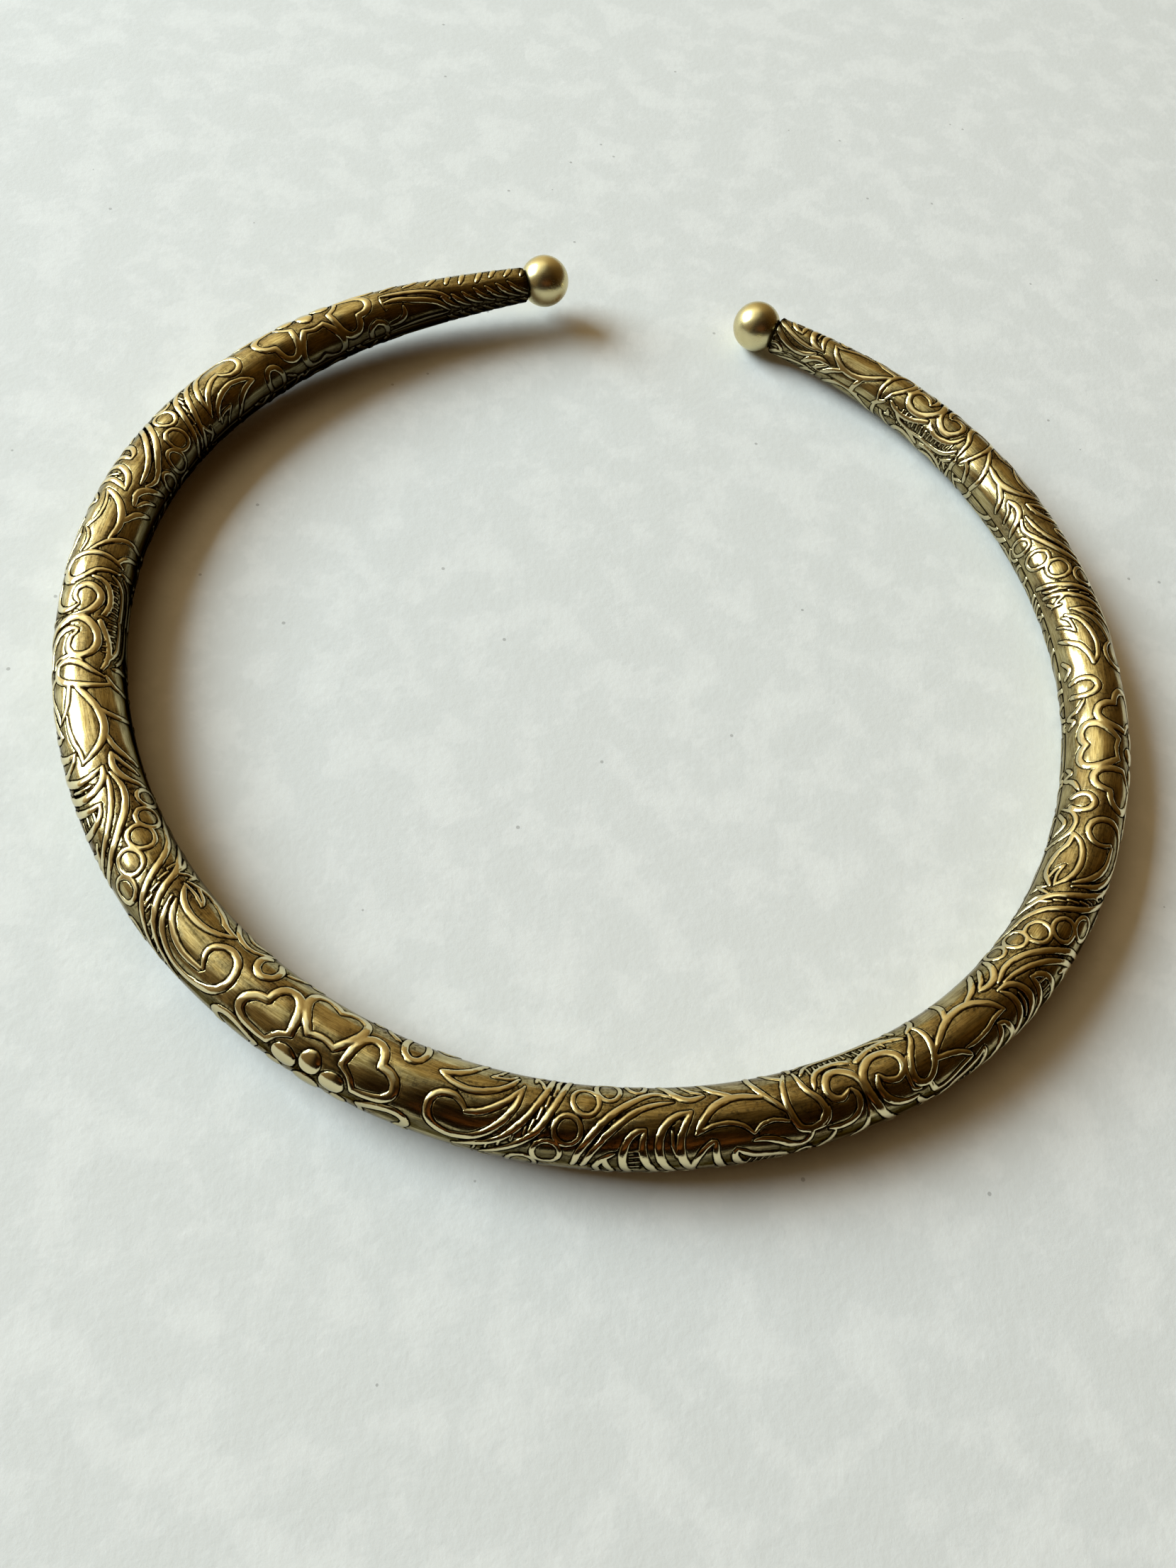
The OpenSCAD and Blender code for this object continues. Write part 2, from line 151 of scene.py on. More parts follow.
# drawn lines: variants, half width at the start, middle and end, points
strokes = [
    # open ring and the bowl over it
    ("b", .4, .45, .4, (8.6, 10.9), (8.0, 9.9), (8.1, 8.7), (9.2, 7.95), (10.3, 8.5), (10.6, 9.7),
     (10.1, 10.8)),
    ("a", .4, .45, .4, (8.2, 11.9), (8.0, 10.2), (8.35, 8.95), (9.35, 8.3), (10.4, 8.8), (10.8, 10.2),
     (10.4, 11.9)),
    ("b", .2, .36, .3, (10.2, 11.9), (11.1, 10.3), (12.7, 9.6), (14.5, 10.2), (15.7, 11.7), (16.4, 13.2)),
    ("b", .3, .36, .3, (11.0, 12.4), (12.8, 11.1), (14.6, 12.4)),
    ("a", .3, .36, .3, (11.6, 12.6), (12.8, 11.7), (14.2, 12.6)),
    ("ab", .2, .4, .2, (5.2, 12.8), (5.9, 11.2), (7.3, 10.2)),
    ("ab", .2, .36, .2, (3.3, 12.6), (4.3, 11.7), (5.0, 12.9)),
    # leaf with its leaflet
    ("b", .25, .42, .2, (14.5, 9.35), (15.8, 8.3), (17.7, 7.65), (19.9, 7.65), (21.6, 8.3), (22.7, 9.2)),
    ("b", .3, .45, .2, (14.5, 9.5), (16.2, 9.75), (17.6, 10.65), (19.2, 11.2), (21, 11.2), (23.1, 9.9)),
    ("b", .12, .25, .12, (19.5, 9.1), (20.4, 10.05), (22.2, 10.6)),
    ("b", .12, .25, .12, (19.5, 9.1), (21.2, 9.6), (23.1, 9.4)),
    ("a", .2, .42, .2, (13.2, 8.1), (14.75, 7.55), (16.6, 7.35), (18.7, 7.9), (20.4, 8.9), (21.4, 10.3)),
    ("a", .3, .45, .2, (12.9, 8.4), (14.3, 8.7), (16, 9.6), (16.9, 10.8), (17.8, 12.3)),
    ("a", .12, .25, .12, (18.3, 9.6), (19.3, 10.5), (20, 11.9)),
    ("a", .12, .25, .12, (18.3, 9.6), (20.4, 10), (21.2, 10.9)),
    # comma with its tails
    ("a", .22, .5, .15, (16.6, 5.15), (16, 5.9), (15, 6.4), (13.8, 6.3), (12.9, 5.6), (12.7, 4.6),
     (13.1, 3.4), (14.1, 2.55), (15.6, 2.15), (17.5, 2.55), (19.1, 3.6), (20.6, 5.3), (21.6, 7.1),
     (22.1, 9.4)),
    ("a", .3, .42, .12, (16.6, 5.15), (17.9, 5.45), (19.4, 6.3), (20.8, 7.5), (21.9, 9.0)),
    ("b", .22, .5, .15, (14.2, 4.6), (15, 5.8), (15, 6.9), (14.2, 7.7), (13.2, 8), (12, 7.55),
     (11.3, 6.4), (11.2, 5), (12, 3.6), (13.3, 2.8), (15.4, 2.35), (17.3, 2.55), (19.1, 3.5),
     (20.7, 4.8), (22.4, 7.5)),
    ("b", .3, .45, .12, (14.5, 4.3), (17, 4.3), (18.9, 5), (20.5, 6.1), (21.8, 7.6)),
    # two rails
    ("b", .2, .42, .3, (16.2, .75), (20, 2.8), (22.2, 5), (23.6, 7.2), (24.7, 9.4), (26.4, 11),
     (28.4, 12.6)),
    ("a", .2, .42, .3, (16.2, .75), (20, 2.8), (22.2, 5), (23.6, 7.2), (24.8, 9.6), (25.5, 12.2)),
    ("b", .2, .42, .3, (19, .45), (22.2, 2.9), (24.2, 4.9), (25.7, 7.2), (26.9, 9.1), (28.6, 10.8),
     (31, 11.9), (33, 12.9)),
    ("a", .2, .42, .3, (19, .45), (22.2, 2.9), (24.2, 4.9), (25.4, 7.2), (26.3, 9.2), (27.0, 11),
     (27.5, 12.6)),
    ("ab", .12, .28, .12, (23.2, 11.7), (24, 10.5), (24.4, 9.4)),
    ("ab", .12, .28, .12, (23.3, 10.2), (23.5, 11.3), (24.4, 12.1)),
    ("a", .12, .28, .12, (25.8, 9.4), (25.9, 10.8), (26.5, 12)),
    ("b", .12, .28, .12, (24.8, 9.6), (25.2, 10.9), (26.2, 11.9)),
    # long sweeps
    ("a", .3, .46, .2, (28.3, 1.2), (28.6, 2.9), (29.4, 4.5), (31.2, 6.8), (33.8, 8.7), (36.1, 9.95),
     (37.3, 10.05), (38.5, 9.5)),
    ("a", .3, .4, .14, (29.3, 1.2), (30.0, 3.3), (31.6, 5.5), (34.2, 7.6), (36.4, 8.5), (38.7, 8.8)),
    ("b", .3, .46, .2, (28.4, .8), (29.2, 3.2), (30.1, 4.5), (31.9, 6.45), (34.2, 8.15), (36.6, 8.8),
     (39, 8.1)),
    ("b", .3, .4, .14, (29.6, .9), (30.9, 3.5), (32.6, 5.4), (34.6, 6.7), (36.6, 7.4), (38.6, 7.7)),
    # claws
    ("ab", .14, .4, .3, (32.3, 3.3), (31.2, 2.5), (30.6, 1.2), (31.1, 0)),
    ("ab", .14, .36, .3, (31.3, 2.8), (31.6, 1.6), (32.5, .2)),
    ("a", .14, .48, .4, (35.3, 5.9), (34.3, 5.6), (33.5, 4.7), (33.15, 3.2), (33.4, 1.6), (34.3, -.3)),
    ("a", .14, .48, .4, (35.4, 5.9), (35.1, 4.6), (35.25, 3.2), (35.9, 1.7), (37.1, -.2)),
    ("a", .2, .5, .4, (40.5, 7.6), (38.9, 7.25), (37.6, 6.4), (36.85, 4.9), (37.0, 3), (37.8, 1.4),
     (38.9, -.2)),
    ("a", .14, .5, .4, (40.5, 7.5), (39.7, 6.4), (39.1, 4.8), (39.25, 3), (39.95, 1.5), (41, -.2)),
    ("a", .14, .4, .3, (42.9, 4.4), (42.2, 4.2), (41.3, 3.2), (40.8, 1.9), (40.7, .6)),
    ("a", .14, .46, .4, (42.9, 4.4), (42.85, 3.4), (43.05, 2.2), (43.6, .9), (44.3, -.2)),
    ("a", .14, .46, .4, (45.1, 3.2), (44.9, 2.4), (45.3, 1.3), (46.5, -.3)),
    ("a", .14, .48, .4, (45.1, 3.2), (46.9, 2.05), (48.4, 1.65), (49.6, 1.35), (50.6, .6), (51.1, -.4)),
    ("b", .14, .46, .4, (35.7, 5.9), (34.6, 5.4), (33.9, 4.4), (33.7, 3), (34.1, 1.4), (35, 0)),
    ("b", .14, .46, .4, (35.7, 6.0), (35.7, 4.6), (36.1, 3.1), (36.9, 1.7), (38.1, .2)),
    ("b", .2, .5, .4, (39.9, 7.5), (38.4, 7.15), (37.5, 6.1), (37.2, 4.6), (37.7, 3), (38.7, 1.6),
     (40, .3)),
    ("b", .14, .5, .4, (39.8, 7.2), (39.2, 6), (39.2, 4.4), (39.9, 2.9), (41, 1.4), (42.2, .1)),
    ("b", .14, .4, .3, (42.6, 4.9), (41.7, 4.3), (41.2, 3.2), (41.2, 2.2), (42, 1)),
    ("b", .14, .48, .4, (42.6, 4.9), (42.6, 3.7), (43.1, 2.5), (44.0, 1.3), (45.2, 0)),
    ("b", .14, .46, .4, (45.3, 3.7), (45.4, 2.6), (46.1, 1.4), (47.2, .1)),
    ("b", .14, .48, .4, (45.3, 3.7), (46.6, 2.9), (48.2, 2.3), (49.6, 1.7), (50.7, .8), (51.4, -.1)),
    ("ab", .1, .2, .1, (38.2, 5.8), (38.3, 4.2), (38.8, 2.8)),
    # lower leaf
    ("a", .14, .44, .3, (46.9, 3.85), (48.3, 3.85), (49.8, 3.2), (51, 2.45), (52, 2.15), (53, 2.5),
     (53.5, 3.7)),
    ("a", .14, .26, .14, (47, 4.65), (47.9, 5.35), (49.3, 5.65), (51.0, 5.2)),
    ("b", .14, .4, .3, (47, 3.6), (48.3, 3.4), (49.8, 2.8), (51.2, 2.25), (52.2, 2.4), (52.7, 3.5)),
    ("b", .14, .38, .2, (47, 3.85), (47.8, 4.6), (49.2, 5.3), (51.5, 5.7)),
    # big leaf
    ("a", .14, .52, .2, (40.7, 5.15), (41.5, 6.4), (42.8, 7.75), (44.6, 8.6), (46.5, 8.75), (48.7, 8.2)),
    ("a", .12, .28, .14, (40.9, 5.25), (42.2, 5.85), (44.1, 6.1), (45.8, 5.7), (47, 4.7)),
    ("b", .14, .52, .2, (40.9, 5.5), (41.9, 7.1), (43.4, 8.35), (45.2, 8.9), (47.2, 8.6), (49, 7.7),
     (50.8, 6.4)),
    ("b", .12, .34, .14, (40.9, 5.6), (42.4, 5.6), (44.2, 5.05), (46, 4.8), (47.4, 4.9)),
    # upper claws
    ("a", .2, .5, .2, (37.5, 12.3), (38.3, 10.8), (39.3, 9.5), (40.6, 9.0), (42.3, 9.4)),
    ("a", .14, .3, .12, (39.9, 11.8), (40.8, 10.4), (42.2, 9.7)),
    ("a", .2, .46, .14, (42.2, 11.9), (43.1, 10.4), (44.1, 9.65), (45.5, 9.0)),
    ("b", .2, .48, .2, (36.9, 11.8), (37.6, 10), (38.6, 9), (39.9, 8.6), (41.5, 8.85)),
    ("b", .14, .36, .12, (38.5, 11.4), (39.9, 9.85), (41.3, 9.05)),
    ("b", .2, .46, .14, (39.8, 11.8), (41.2, 10.2), (42.4, 9.35), (43.9, 8.9)),
    # stem and loop
    ("a", .36, .42, .14, (48.3, 12.6), (48.0, 10.9), (48.3, 9.7), (49.1, 8.3), (50.0, 7.3), (50.9, 6.3)),
    ("b", .3, .42, .14, (46.3, 12.4), (46.4, 10.5), (46.9, 9.4), (47.6, 8.4)),
    ("a", .2, .46, .2, (52.4, 10.8), (51.6, 9.3), (51.2, 7.5), (51.4, 5.8), (52.1, 4.3), (53.2, 3.8),
     (54.5, 4.1), (55.3, 5.2), (54.9, 6.6), (53.95, 7.8), (53.6, 9.1), (53.5, 10.6)),
    ("b", .2, .46, .2, (50.9, 10.3), (50.6, 8.8), (50.8, 7.2), (51.5, 5.4), (52.4, 4.2), (53.4, 3.95),
     (54.2, 4.6), (54.3, 5.8), (53.6, 7.3), (52.5, 8.6), (51.9, 9.7)),
    ("a", .1, .2, .1, (53.9, 3.55), (54.9, 3.75), (55.6, 4.5), (55.8, 5.6)),
    ("b", .12, .24, .12, (53.9, 3.5), (54.8, 3.9), (55.0, 5.2), (54.8, 6.4), (54.1, 7.4)),
    ("ab", .14, .4, .2, (52.1, 9.9), (50.7, 10.9), (50, 12.8)),
    ("ab", .14, .4, .2, (53.2, 10.8), (53.4, 11.9), (53.2, 13)),
    # crescent border
    ("a", .2, .42, .4, (54.9, 7.7), (55.3, 8.9), (56.3, 9.8), (58.3, 10.2), (60.2, 9.6)),
    ("b", .2, .42, .4, (52.9, 9.5), (54, 10.15), (55.6, 10.5), (57.2, 10.3), (59.4, 9.3)),
    ("ab", .2, .36, .36, (54.2, 9.9), (55.1, 11), (56.4, 11.7), (58.5, 11.9), (60.4, 11.8)),
    ("ab", .2, .3, .3, (54, 11.4), (55.4, 12.5), (57.5, 13), (60.4, 13)),
    # scroll
    ("a", .5, .5, .16, (60.45, 6.6), (60.1, 7.5), (59.3, 8.4), (58.1, 9.0), (57.1, 8.85), (56.35, 8.05),
     (56.1, 7.1), (56.6, 6.2), (57.6, 5.95), (58.6, 6.6)),
    ("a", .16, .46, .2, (58.9, 6.6), (59.4, 5.6), (59.2, 4.4), (58.3, 3.4), (57, 3.0), (55.4, 3.2)),
    ("a", .5, .5, .3, (60.45, 6.7), (60.6, 5), (60.4, 3.2), (59.8, 1.4), (58.6, .3)),
    ("a", .14, .4, .3, (56.1, 2.8), (55.7, 1.6), (54.5, .2)),
    ("b", .5, .5, .16, (59.85, 7.0), (59.2, 8.1), (57.9, 9.0), (56.5, 9.1), (55.3, 8.5), (54.8, 7.4),
     (55.1, 6.3), (56.1, 5.7), (57.3, 6.0), (58.0, 6.9)),
    ("b", .16, .46, .2, (58.2, 6.9), (58.5, 5.7), (58, 4.3), (56.8, 3.2), (55.5, 2.7), (54.4, 2.8)),
    ("b", .5, .5, .3, (59.9, 7.1), (59.75, 5.7), (59.3, 4.2), (58.5, 2.4), (57.6, 1.2), (56.8, .4)),
    ("b", .14, .4, .3, (54.4, 2.6), (53.9, 1.6), (52.8, .5)),
    # feather on the left end: its barbs below and above the quill
    ("c", .2, .4, .14, (-.6, 7.5), (.9, 6.9), (2.2, 6.0), (3.2, 5.0)),
    ("c", .2, .4, .14, (1.6, 7.5), (2.9, 6.9), (4.1, 6.1), (5.0, 5.2)),
    ("c", .2, .4, .14, (3.6, 7.5), (4.8, 7.0), (6.0, 6.2), (6.8, 5.4)),
    ("c", .2, .4, .14, (5.6, 7.6), (6.8, 7.1), (7.8, 6.4), (8.6, 5.5)),
    ("c", .2, .4, .14, (7.6, 7.7), (8.7, 7.3), (9.7, 6.7), (10.5, 5.9)),
    ("c", .2, .4, .14, (9.5, 7.9), (10.5, 7.4), (11.4, 6.8), (12.2, 6.0)),
    ("c", .2, .4, .14, (11.3, 8.0), (12.2, 7.5), (13.0, 6.9), (13.8, 6.2)),
    ("c", .2, .4, .14, (-.4, 8.2), (.8, 9.0), (1.6, 10.2), (2.0, 11.4)),
    ("c", .2, .4, .14, (1.5, 8.2), (2.7, 9.0), (3.5, 10.2), (3.9, 11.4)),
    ("c", .2, .4, .14, (3.4, 8.2), (4.6, 9.0), (5.4, 10.2), (5.8, 11.4)),
    ("c", .2, .4, .14, (5.3, 8.3), (6.5, 9.1), (7.3, 10.3), (7.7, 11.4)),
    ("c", .2, .4, .14, (7.2, 8.4), (8.4, 9.2), (9.2, 10.4), (9.6, 11.4)),
    ("c", .2, .4, .14, (9.1, 8.5), (10.3, 9.3), (11.1, 10.5), (11.5, 11.4)),
    ("c", .2, .4, .14, (11, 8.6), (12.2, 9.4), (13.0, 10.6), (13.4, 11.4)),
    # its broad foot
    ("c", .2, .5, .2, (12.9, 8.2), (14.3, 7.0), (16.2, 6.3), (18.4, 5.9), (20.4, 5.5), (22.6, 5.6)),
    ("c", .2, .42, .2, (13.2, 8.5), (15.5, 8.7), (18.5, 9.1), (22.6, 9.9)),
    ("c", .2, .42, .2, (12.6, 6.4), (14.4, 5.4), (16.6, 4.9), (19, 4.6), (22.6, 4.4)),
    ("c", .2, .46, .3, (19.9, 6.6), (20.0, 7.7), (20.9, 8.5), (22.6, 8.8)),
    # barbs over the outer side
    ("c", .2, .45, .2, (-.4, 1.6), (.2, 3.0), (.9, 4.3)),
    ("c", .2, .45, .2, (1.9, 1.6), (2.5, 3.0), (3.3, 4.1)),
    ("c", .2, .45, .2, (4.2, 1.4), (4.9, 2.8), (5.6, 4.0)),
    ("c", .2, .45, .2, (6.4, 1.6), (7.1, 3.2), (7.9, 4.6)),
    ("c", .2, .45, .2, (9.0, 1.5), (9.7, 3.1), (10.4, 4.5)),
    ("c", .2, .45, .2, (11.2, 1.5), (11.9, 3.0), (12.5, 4.3)),
    ("c", .2, .45, .2, (13.4, 1.6), (14.2, 3.0), (15.3, 4.0)),
    ("c", .2, .45, .2, (15.8, 1.2), (17, 2.6), (18.6, 3.4)),
    ("c", .2, .45, .2, (18.6, .8), (20, 2.2), (22, 3.2)),
]
pebbles = [  # variants, middle, radius along, radius up
    ("ab", 23.2, .2, 1.4, 1.45),
    ("a", 25.4, 2.6, 1.4, 1.4),
    ("a", 27.2, 5.35, 1.42, 1.5),
    ("a", 28.95, 8.6, 1.48, 1.6),
    ("a", 31.55, 10.6, 1.35, 1.7),
    ("a", 34.9, 11.8, 1.1, 1.5),
    ("b", 26.1, 3.7, 1.42, 1.3),
    ("b", 28.1, 5.9, 1.5, 1.4),
    ("b", 30.2, 8.3, 1.5, 1.5),
    ("b", 32.4, 10.1, 1.35, 1.45),
    ("b", 35.2, 11.3, 1.2, 1.4),
    ("ab", 52.8, 0, .8, 1.1),
]
combs = [  # variants, first tooth, last tooth, number, half width, slant of the teeth in u and v
    ("ab", (18.3, 1.0), (22.9, 4.6), 5, .13, (.06, .42)),
    ("ab", (23.5, 5.2), (25.6, 9.4), 4, .16, (.16, .62)),
    ("a", (34.6, .8), (34.3, 3.6), 5, .12, (.5, .06)),
    ("b", (34.9, 2.4), (34.7, 4.6), 3, .14, (.5, .06)),
    ("ab", (46.6, .9), (49.6, .5), 5, .13, (.1, .55)),
    ("ab", (55.4, 10.2), (60.2, 10.9), 7, .14, (.05, .55)),
]
# the hand-laid ornament runs a little out of true: place on the tube, shift along it and shift upwards
drift = [
    (-181, .9, .8),
    (-147, .9, .8),
    (-135, .6, .6),
    (-120, 0, 0),
    (-112, -.3, -.6),
    (-95, -.6, -.8),
    (-85, 0, -.9),
    (-75, 0, -.8),
    (-56, 0, -.6),
    (-42, 0, -.2),
    (-27, 0, 0),
    (70, 0, 0),
    (84, -.5, -.2),
    (93, -1, -.5),
    (106, -.5, -.9),
    (125, 0, -.9),
    (181, 0, -.9),
]
drawing = {
    "pitch": 0.05,
    "low": (-1.2, -1.2),
    "high": (61.6, 14.2),
    "widthShare": 0.9,  # share of the tabled width that a ridge has
    "ridge": 0.10,  # height of a ridge
    "grooveDepth": 0.04,
    "grooveAt": 0.08,
    "grooveWidth": 0.13,
    "reach": 1.5,  # how far from a line its distance is known
    "soften": 2,
    "crowdBlur": 60,
    "curvePitch": 0.2,
    "lineTip": 0.12,  # share of a line over which its width grows at either end
    "lobe": (.42, .55, .46),  # half widths along the outline of a petal
    "petalBase": (.34, .34, .34),
    "pebble": (.28, .3, .28),
    "pebbleSteps": 40,
    "swell": 0.05,  # height of the field inside a petal or a pebble
    "petalSwell": (6.9, 2.6, 2.3),  # how far out the petal swells, half length and half width
}


# even points of a smooth curve through the drawn ones
def spline(points):
    p = np.array(points, float)
    ext = np.vstack([2 * p[0] - p[1], p, 2 * p[-1] - p[-2]])
    out = []
    for i in range(len(p) - 1):
        a, b, c, d = ext[i:i + 4]
        n = max(2, int(np.hypot(*(c - b)) / drawing["curvePitch"]) + 1)
        t = np.linspace(0, 1, n, endpoint=False)[:, None]
        out.append(0.5 * (2 * b + (c - a) * t + (2 * a - 5 * b + 4 * c - d) * t ** 2
                          + (3 * b - a - 3 * c + d) * t ** 3))
    return np.vstack(out + [p[-1:]])


def ellipse(cu, cv, ru, rv):
    a = np.linspace(0, 2 * math.pi, drawing["pebbleSteps"] + 1)
    return np.stack([cu + ru * np.cos(a), cv + rv * np.sin(a)], -1)


# lays a ridge along the points: the field holds its height and the distance to its foot
def drawLine(field, pts, widths):
    d = drawing
    seg = np.hypot(*np.diff(pts, axis=0).T)
    run = np.concatenate([[0], np.cumsum(seg)]) / max(seg.sum(), 1e-6)
    first, most, last = widths
    half = np.interp(run, [0, d["lineTip"], 0.5, 1 - d["lineTip"], 1],
                     [first, (first + most * 2) / 3, most, (last + most * 2) / 3, last])
    half = half * d["widthShare"]
    reach = half.max() + d["reach"]
    for i in range(len(pts) - 1):
        a, b = pts[i], pts[i + 1]
        lo = np.minimum(a, b) - reach
        hi = np.maximum(a, b) + reach
        i0 = np.maximum(((lo - d["low"]) / d["pitch"]).astype(int), 0)
        i1 = ((hi - d["low"]) / d["pitch"]).astype(int) + 2
        box = (slice(i0[0], max(i1[0], 0)), slice(i0[1], max(i1[1], 0)))
        u, v = field["u"][box], field["v"][box]
        if u.size == 0:
            continue
        ab = b - a
        t = np.clip(((u - a[0]) * ab[0] + (v - a[1]) * ab[1]) / max(ab @ ab, 1e-9), 0, 1)
        dist = np.hypot(u - a[0] - t * ab[0], v - a[1] - t * ab[1])
        w = half[i] + (half[i + 1] - half[i]) * t
        q = np.clip(dist / w, 0, 1)
        height = d["ridge"] * np.minimum(1, 0.55 + w) * (1 - q ** 4)
        field["ridge"][box] = np.maximum(field["ridge"][box], height)
        field["foot"][box] = np.minimum(field["foot"][box], dist - w)


# round bud, turned by so many degrees
def drawDome(field, cu, cv, ru, rv, turn, height):
    t = math.radians(turn)
    du, dv = field["u"] - cu, field["v"] - cv
    x = (du * math.cos(t) + dv * math.sin(t)) / ru
    y = (dv * math.cos(t) - du * math.sin(t)) / rv
    q = np.hypot(x, y)
    dome = height * np.clip(1 - q ** 2, 0, 1) ** 0.5
    field["dome"] = np.maximum(field["dome"], dome)
    field["foot"] = np.minimum(field["foot"], (q - 1) * min(ru, rv))


# each value becomes the mean of itself and its neighbours, so many times
def spread(values, times):
    for _ in range(times):
        for axis in (0, 1):
            values = (values + np.roll(values, 1, axis) + np.roll(values, -1, axis)) / 3
    return values


# maps of one drawing over u and v: height, distance to the foot of a ridge and how crowded it is
def drawPanel(variant):
    d = drawing
    us = np.arange(d["low"][0], d["high"][0], d["pitch"])
    vs = np.arange(d["low"][1], d["high"][1], d["pitch"])
    u, v = np.meshgrid(us, vs, indexing="ij")
    field = {"u": u, "v": v, "ridge": np.zeros(u.shape), "dome": np.zeros(u.shape)}
    field["foot"] = np.full(u.shape, 9.0)  # further than any line reaches
    flowered = variant != "c"
    for direction, reach, width in petals if flowered else []:
        side = [(x * reach, y * width) for x, y in petal]
        heart = np.array([(x, -y) for x, y in side] + side[-2::-1])
        base = np.array([side[0], (side[0][0] + 0.35, 0), (side[0][0], -side[0][1])])
        for turn in {direction, -direction, 180 - direction}:
            t = math.radians(turn)
            spin = np.array([[math.cos(t), math.sin(t)], [-math.sin(t), math.cos(t)]])
            lobes = len(heart) // 2 + 1
            drawLine(field, spline(heart[:lobes] @ spin), d["lobe"])
            drawLine(field, spline(heart[lobes - 1:] @ spin), d["lobe"][::-1])
            drawLine(field, spline(base @ spin), d["petalBase"])
            # the field inside a petal swells towards its base
            far, halfLength, halfWidth = d["petalSwell"]
            cx, cy = far * reach * math.cos(t), far * reach * math.sin(t)
            x = ((u - cx) * math.cos(t) + (v - cy) * math.sin(t)) / (halfLength * reach)
            y = ((v - cy) * math.cos(t) - (u - cx) * math.sin(t)) / (halfWidth * width)
            swell = d["swell"] * np.clip(1 - x ** 2 - y ** 2, 0, 1)
            field["dome"] = np.maximum(field["dome"], swell)
    for cu, cv, ru, rv, turn, height in buds if flowered else []:
        drawDome(field, cu, cv, ru, rv, turn, height)
    for who, *row in strokes:
        if variant in who:
            drawLine(field, spline(row[3:]), row[:3])
    for who, cu, cv, ru, rv in pebbles:
        if variant in who:
            drawLine(field, ellipse(cu, cv, ru, rv), d["pebble"])
            q = np.hypot((u - cu) / ru, (v - cv) / rv)
            swell = d["swell"] * np.clip(1 - q ** 2, 0, 1) ** 0.7
            field["dome"] = np.maximum(field["dome"], swell)
    for who, first, last, count, half, slant in combs:
        if variant in who:
            for i in range(count):
                c = np.array(first) + (np.array(last) - first) * i / (count - 1)
                tooth = np.array([c - slant, c + slant])
                drawLine(field, tooth, (half, half, half))
    foot = field["foot"]
    groove = np.exp(-((foot - d["grooveAt"]) / d["grooveWidth"]) ** 2)
    height = np.maximum(field["ridge"], field["dome"]) - d["grooveDepth"] * groove * (foot > -0.1)
    field["height"] = spread(height, d["soften"])
    field["foot"] = np.minimum(foot, d["reach"])
    # the grooves spread out over their neighbourhood, so the field grows darker between crowded strokes
    field["crowd"] = np.clip(spread(np.clip(groove, 0, 1), d["crowdBlur"]) * 2.2, 0, 1)
    print("ornament", variant, "drawn")
    return field


# bilinear reading of a drawn map
def sample(field, name, u, v):
    d = drawing
    grid = field[name]
    x = np.clip((u - d["low"][0]) / d["pitch"], 0, grid.shape[0] - 1.001)
    y = np.clip((v - d["low"][1]) / d["pitch"], 0, grid.shape[1] - 1.001)
    i, j = x.astype(int), y.astype(int)
    x, y = x - i, y - j
    return ((grid[i, j] * (1 - x) + grid[i + 1, j] * x) * (1 - y)
            + (grid[i, j + 1] * (1 - x) + grid[i + 1, j + 1] * x) * y)


# smooth unevenness from a few seeded waves over the length and the turn of the tube
def waves(s, a, seed, count, longest, shortest):
    rng = np.random.default_rng(seed)
    total = np.zeros(np.broadcast(s, a).shape)
    for _ in range(count):
        length = math.exp(rng.uniform(math.log(shortest), math.log(longest)))
        around = rng.integers(-5, 6)
        turn = 2 * math.pi * s / length * rng.choice([-1, 1]) + around * a + rng.uniform(0, 6.28)
        total += np.sin(turn) * length
    return total / (longest * math.sqrt(count))


tube = {
    "pitch": 0.12,  # spacing of the fine grid along the tube
    # columns round the tube: from degree, to degree and number
    "columns": [(-90, 115, 144), (115, 250, 48), (250, 270, 11)],
    "boreSteps": 150,
    "boreSpan": 0.8,  # radius at which the finish is read in the bore
    "triangles": 196000,
    "endRound": 0.3,
    "endRun": 26.0,  # over this length the ends grow slimmer than the taper says
    "endLoss": (0.33, 0.1),  # left and right
    "dents": 0.008,
    "dentSeed": 4,
    "dentWaves": 24,
    "dentLengths": (30.0, 9.0),
    "seamWidth": 0.12,
    "seamDepth": 0.05,
    "seamHalf": 0.3,  # the dark line of the seam
}


# height of the relief over a fine grid of s and phi, and the maps for the finish
def tubeSurface():
    fields = {name: drawPanel(name) for name in "abc"}
    count = int(2 * ring["armLength"] / tube["pitch"])
    s = np.linspace(-ring["armLength"], ring["armLength"], count)[:, None]
    phi = np.concatenate([np.linspace(a, b, n, endpoint=False) for a, b, n in tube["columns"]])[None, :]
    r = tubeR(s)
    table = np.array(drift, float)
    v = np.abs((90 - phi) * math.pi / 180 * r - np.interp(s, table[:, 0], table[:, 2]))
    drawn = s - np.interp(s, table[:, 0], table[:, 1])
    maps = {name: np.zeros(v.shape) for name in ("height", "foot", "crowd")}
    for flower, stretch, length, variant in panels:
        u = (drawn - flower) / stretch
        rows = ((u >= 0) & (u < length))[:, 0]
        if not rows.any():
            continue
        uu = np.broadcast_to(u, v.shape)[rows]
        for name in maps:
            maps[name][rows] = sample(fields[variant], name, uu, v[rows])
    a = np.radians(phi)
    away = np.minimum(phi + 90, 270 - phi) * math.pi / 180 * r  # from the seam on the inner side
    seam = np.exp(-(away / tube["seamWidth"]) ** 2)
    dents = waves(s, a, tube["dentSeed"], tube["dentWaves"], *tube["dentLengths"])
    maps["height"] += -tube["seamDepth"] * seam + tube["dents"] * dents
    maps["foot"] = np.where(away < tube["seamHalf"], np.minimum(maps["foot"], away), maps["foot"])
    return s, phi, maps


